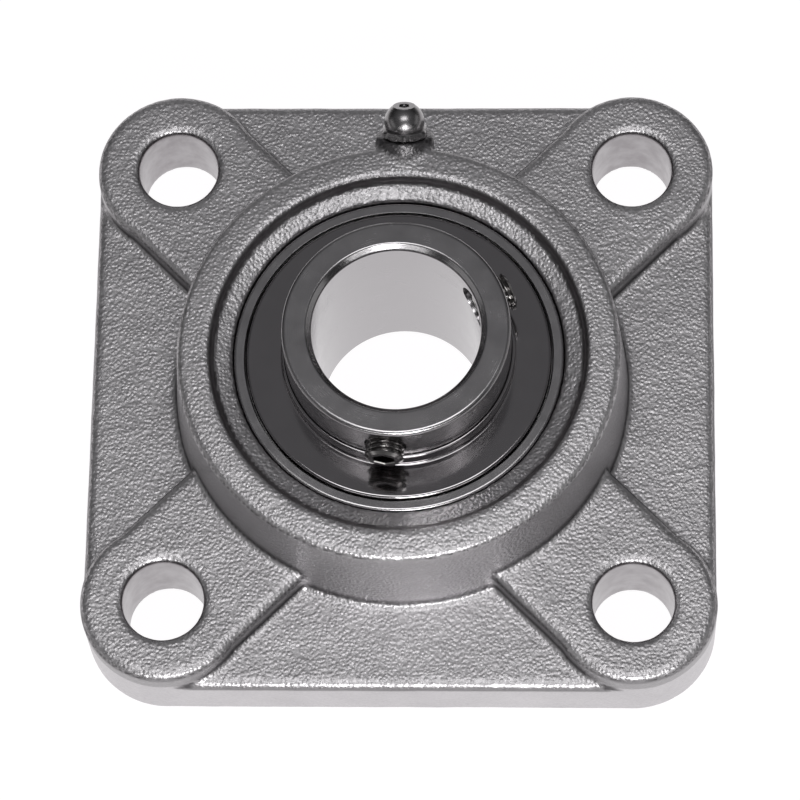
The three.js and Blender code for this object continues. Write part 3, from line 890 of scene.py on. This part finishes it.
def set_screw(name, body):
    """From the cup point at the shaft, up the thread, and down the hexagon socket."""
    radius, length, flats, depth = 2.87, 5.5, 3, 2.6
    low, high = cad_box(name)
    direction = Vector(joints[name + "_travel"]["axis"])
    middle = (low + high) / 2
    tip = middle - direction * length / 2
    rows = [(0, 0.35), (1.0, 0.3), (1.5, 0), (1.9, 0), (2.45, 0.55)]
    rows += thread_rows(radius, 0.4, 0.75, 0.6, length - 0.35)
    rows += [(2.5, length - 0.1), (2.35, length), (1.95, length)]
    rows += [(hexagon(flats + 0.2), length), (hexagon(flats), length - 0.15)]
    rows += [(hexagon(flats), length - depth + 0.4), (0.6, length - depth), (0, length - depth - 0.1)]
    piece = skin(name + "_piece", rows, 72, along(tip, direction))
    return add(piece, body, "screw_steel", SCREW_STEEL, name)


def locating_pin():
    """A chamfered pin from the outer ring into the seat's groove."""
    low, high = cad_box("locating_pin")
    length = high.x - low.x
    radius = (high.y - low.y) / 2
    edge = 0.3
    rows = [(0, 0), (radius - edge, 0), (radius, edge)]
    rows += [(radius, length - edge), (radius - edge, length), (0, length)]
    place = along((low.x, 0, (low.z + high.z) / 2), (1, 0, 0))
    piece = skin("locating_pin_piece", rows, 40, place)
    return add(piece, "pin", "screw_steel", SCREW_STEEL, "locating_pin")


def nipple_body():
    """Threaded stem, hexagon, and a ball-shaped head whose flat tip is drilled, about its own axis."""
    flats, lift, hex_top = 6.6, 0.1, 1.35
    head_radius, head_z, tip = 3.05, 2.2, 4.8
    hexagonal = hexagon(flats)

    def chamfered(limit):
        return lambda angle: min(hexagonal(angle), limit)

    start = math.asin((hex_top - head_z) / head_radius)
    end = math.asin((tip - 0.12 - head_z) / head_radius)
    head = arc(0, head_z, head_radius, start, end, 20)
    neck, hex_edge = 2.6, 3.75
    rows = [(1.45, -5), (2.3, -5), (2.75, -4.6)]  # the stem's open end
    rows += thread_rows(2.85, 0.35, 0.75, -4.5, -0.1)
    rows += [(neck, 0.02), (neck, lift)]
    rows += [(chamfered(3.3), lift), (chamfered(hex_edge), lift + 0.22)]
    rows += [(chamfered(hex_edge), hex_top - 0.35)]
    rows += [(chamfered(3.35), hex_top - 0.08), (3.1, hex_top - 0.02)]
    rows += head
    rows += [(head[-1][0] - 0.1, tip), (0.85, tip), (0.76, tip - 0.06)]  # the flat round the drilled hole
    rows += [(0.75, tip - 0.2), (0.78, 4.27), (1.45, 3.5)]  # the hole, and the cone that the ball closes
    place = along(NIPPLE_BASE, NIPPLE_AXIS)
    piece = skin("grease_nipple_body_piece", rows, 96, place)
    return add(piece, "housing", "nipple_steel", NIPPLE_STEEL, "grease_nipple_body")


def check_spring():
    """A coil spring of round wire, modelled as a tube along its helix."""
    wire, coil, turns = 0.16, 1.0, 6
    start, end = -4.6 + wire, CHECK_BALL_Z - CHECK_BALL_RADIUS - 0.05 - wire
    steps, sides = 20 * turns, 10
    points, faces = [], []
    for i in range(steps + 1):
        angle = TURN * turns * i / steps
        z = start + (end - start) * i / steps
        radial = Vector((math.cos(angle), math.sin(angle), 0))
        for k in range(sides):
            turn = TURN * k / sides
            height = z + wire * math.sin(turn)
            points.append(radial * (coil + wire * math.cos(turn)) + Vector((0, 0, height)))
    for i in range(steps):
        for k in range(sides):
            following = (k + 1) % sides
            low, high = i * sides, (i + 1) * sides
            faces.append([low + k, low + following, high + following, high + k])
    faces.append(list(range(sides)))
    faces.append(list(range(steps * sides, (steps + 1) * sides)))
    piece = new_object("grease_nipple_spring_piece", points, faces, along(NIPPLE_BASE, NIPPLE_AXIS))
    add(piece, "housing", "nipple_steel", NIPPLE_STEEL, "grease_nipple_spring")
    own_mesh(piece)
    return piece


# ---- stage, light and camera -----------------------------------------------------------------------
def stage():
    """A floor that glows white round the object and fades outwards."""
    floor_material = bpy.data.materials.new("studio_floor")
    floor_material.use_nodes = True
    shader = floor_material.node_tree.nodes["Principled BSDF"]
    shader.inputs["Base Color"].default_value = (0.08, 0.08, 0.08, 1)
    shader.inputs["Roughness"].default_value = 0.9
    shader.inputs["Emission Color"].default_value = (1, 0.985, 0.995, 1)
    tree = floor_material.node_tree
    position = tree.nodes.new("ShaderNodeTexCoord").outputs["Object"]
    away = tree.nodes.new("ShaderNodeVectorMath")
    away.operation = "LENGTH"
    tree.links.new(position, away.inputs[0])
    glow = tree.nodes.new("ShaderNodeMapRange")
    for key, value in {"From Min": 0.1, "From Max": 0.2, "To Min": 0.98, "To Max": 0.1}.items():
        glow.inputs[key].default_value = value
    tree.links.new(away.outputs["Value"], glow.inputs["Value"])
    tree.links.new(glow.outputs[0], shader.inputs["Emission Strength"])
    half = 2.0
    mesh = bpy.data.meshes.new("floor")
    corners = [(-half, -half, 0), (half, -half, 0), (half, half, 0), (-half, half, 0)]
    mesh.from_pydata(corners, [], [(0, 1, 2, 3)])
    mesh.materials.append(floor_material)
    floor = bpy.data.objects.new("floor", mesh)
    bpy.context.scene.collection.objects.link(floor)
    floor.location.z = -0.0002


def world():
    """A dim studio that brightens overhead."""
    scene = bpy.context.scene
    scene.world = bpy.data.worlds.new("studio")
    scene.world.use_nodes = True
    tree = scene.world.node_tree
    background = tree.nodes["Background"]
    background.inputs["Color"].default_value = (0.97, 0.97, 1.0, 1)
    direction = tree.nodes.new("ShaderNodeTexCoord").outputs["Generated"]
    height = tree.nodes.new("ShaderNodeSeparateXYZ")
    tree.links.new(direction, height.inputs[0])
    strength = tree.nodes.new("ShaderNodeMapRange")
    tree.links.new(height.outputs["Z"], strength.inputs["Value"])
    for key, value in {"From Min": 0.3, "From Max": 0.95, "To Min": 0.03, "To Max": 0.19}.items():
        strength.inputs[key].default_value = value
    tree.links.new(strength.outputs[0], background.inputs["Strength"])
    scene.view_settings.view_transform = "Standard"


def softbox(name, azimuth, elevation, distance, size, power):
    """An area light that faces the object. Azimuth 0 is in front of it, at -Y."""
    a, e = math.radians(azimuth), math.radians(elevation)
    direction = Vector((math.sin(a) * math.cos(e), -math.cos(a) * math.cos(e), math.sin(e)))
    light = bpy.data.lights.new(name, "AREA")
    light.shape = "RECTANGLE"
    light.size, light.size_y = size
    light.energy = power
    lamp = bpy.data.objects.new(name, light)
    lamp.location = direction * distance
    lamp.rotation_euler = direction.to_track_quat("Z", "Y").to_euler()
    bpy.context.scene.collection.objects.link(lamp)


def camera():
    """Looks down on the front from 21 degrees off the shaft's axis, a little turned and rolled."""
    azimuth, elevation, roll = math.radians(6.469), math.radians(69.147), math.radians(-5.973)
    target = Vector((-0.141, -3.195, 14.0)) * MM
    distance = 649.4 * MM
    back = Vector((
        math.sin(azimuth) * math.cos(elevation),
        -math.cos(azimuth) * math.cos(elevation),
        math.sin(elevation),
    ))
    right = AXIS_Z.cross(back).normalized()
    up = back.cross(right)
    turned_right = math.cos(roll) * right + math.sin(roll) * up
    turned_up = math.cos(roll) * up - math.sin(roll) * right
    data = bpy.data.cameras.new("camera")
    data.sensor_width = 36
    data.lens = 193.445
    data.clip_start, data.clip_end = 0.05, 20
    eye = bpy.data.objects.new("camera", data)
    rotation = Matrix((turned_right, turned_up, back)).transposed().to_4x4()
    eye.matrix_world = Matrix.Translation(target + back * distance) @ rotation
    bpy.context.scene.collection.objects.link(eye)
    bpy.context.scene.camera = eye


def lights():
    """A key and a long bar in front, a softbox overhead, and weak fills at both sides and behind."""
    softbox("key_light", 7.5, 35, 1.0, (0.3, 0.26), 4.4)
    softbox("key_bar", 7, 30, 1.0, (1.3, 0.1), 1.6)
    softbox("overhead_softbox", 7, 87, 1.0, (0.56, 0.32), 2.0)
    for name, azimuth in (("left_fill", -75), ("right_fill", 95), ("back_fill", 187)):
        softbox(name, azimuth, 15, 1.2, (1.0, 0.4), 0.5)


camera()
housing()
outer_ring()
inner_ring()
balls()
cage_half("cage_front_half", 1)
cage_half("cage_rear_half", -1)
rivets()
seals()
slingers()
set_screw("set_screw_lower", "screw_lower")
set_screw("set_screw_upper", "screw_upper")
locating_pin()
nipple_body()
sphere("grease_nipple_check_ball", CHECK_BALL_RADIUS, "nipple_ball")
check_spring()
stage()
world()
lights()
